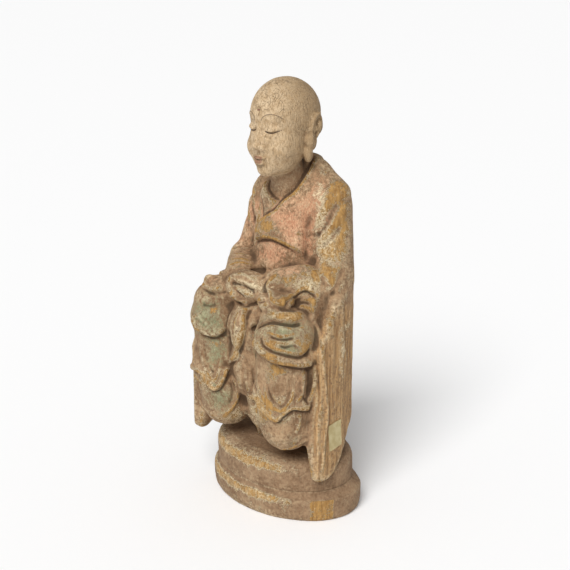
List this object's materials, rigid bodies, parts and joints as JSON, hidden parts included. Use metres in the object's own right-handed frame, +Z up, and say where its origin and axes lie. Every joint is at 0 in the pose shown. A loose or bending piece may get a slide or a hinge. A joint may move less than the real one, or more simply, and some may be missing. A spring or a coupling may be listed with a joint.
{
  "type": "carved wooden figure",
  "caption": "Seated robed monk carved from joined, painted wood blocks, hands muffled in the sleeves, on a stepped oval plinth, with a lift-out cover in the back.",
  "frame": {"origin": "centre of the plinth's underside", "axes": "+Z up, -Y the way the figure faces, +X the figure's left"},
  "size_m": [0.222, 0.1736, 0.5387],
  "materials": {
    "plinth_paint": "worn dull brown paint over wood",
    "robe_paint": "flaked, grimy paint over gesso and wood",
    "skin_ground": "matt cream gesso ground with a fine crackle",
    "bare_wood": "dry unpainted wood",
    "forged_iron": "dark forged iron",
    "label_paper": "matt aged paper"
  },
  "bodies": {
    "figure": {"plinth_lower_tier": "plinth_paint", "plinth_upper_tier": "plinth_paint", "trunk": "robe_paint", "head": "skin_ground", "left_arm": "robe_paint", "right_arm": "robe_paint", "joined_cuffs": "robe_paint", "left_leg": "robe_paint", "right_leg": "robe_paint", "left_robe_fall": "robe_paint", "right_robe_fall": "robe_paint", "arm_dowels": "bare_wood", "cuff_dowels": "bare_wood", "lap_dowel": "bare_wood", "leg_dowels": "bare_wood", "fall_dowels": "bare_wood", "trunk_dowels": "bare_wood", "plinth_nails": "forged_iron", "paper_label": "label_paper"},
    "cover": {"back_cover": "robe_paint"}
  },
  "joints": [
    {"name": "cover_pull_out", "type": "slide", "parent": "figure", "child": "cover", "axis": [0, 1, 0], "range_m": [0, 0.04]}
  ]
}
